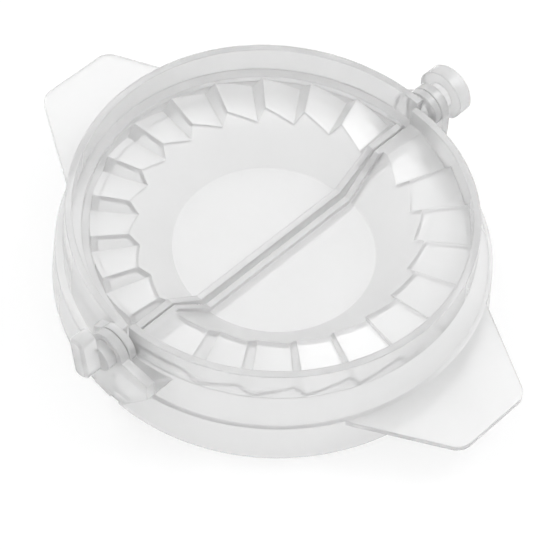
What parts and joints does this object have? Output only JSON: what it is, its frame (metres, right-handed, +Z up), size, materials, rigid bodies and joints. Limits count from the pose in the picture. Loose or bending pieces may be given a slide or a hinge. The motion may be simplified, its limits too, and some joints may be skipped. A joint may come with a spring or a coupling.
{
  "type": "empanada press",
  "caption": "Hinged hand press that folds, fills and crimps a round of dough, with a cutter skirt under each half and a grip tab on each side.",
  "frame": {"origin": "on the table, under the hinge line, midway between the two pins", "axes": "+Z up; Y along the hinge line, with the front pin at -Y; the moving outer leaf at -X, left 6.4 degrees up from flat as pictured, and the inner leaf flat at +X"},
  "size_m": [0.1408, 0.1236, 0.032],
  "materials": {
    "milky_plastic": "satin"
  },
  "bodies": {
    "inner_half": {"inner_leaf": "milky_plastic", "front_hinge_pin": "milky_plastic", "rear_hinge_pin": "milky_plastic"},
    "outer_half": {"outer_leaf": "milky_plastic"}
  },
  "joints": [
    {"name": "leaf_hinge", "type": "hinge", "parent": "inner_half", "child": "outer_half", "pos_m": [0, 0, 0.0225], "axis": [0, 1, 0], "range_deg": [-6.4, 173.6]}
  ]
}
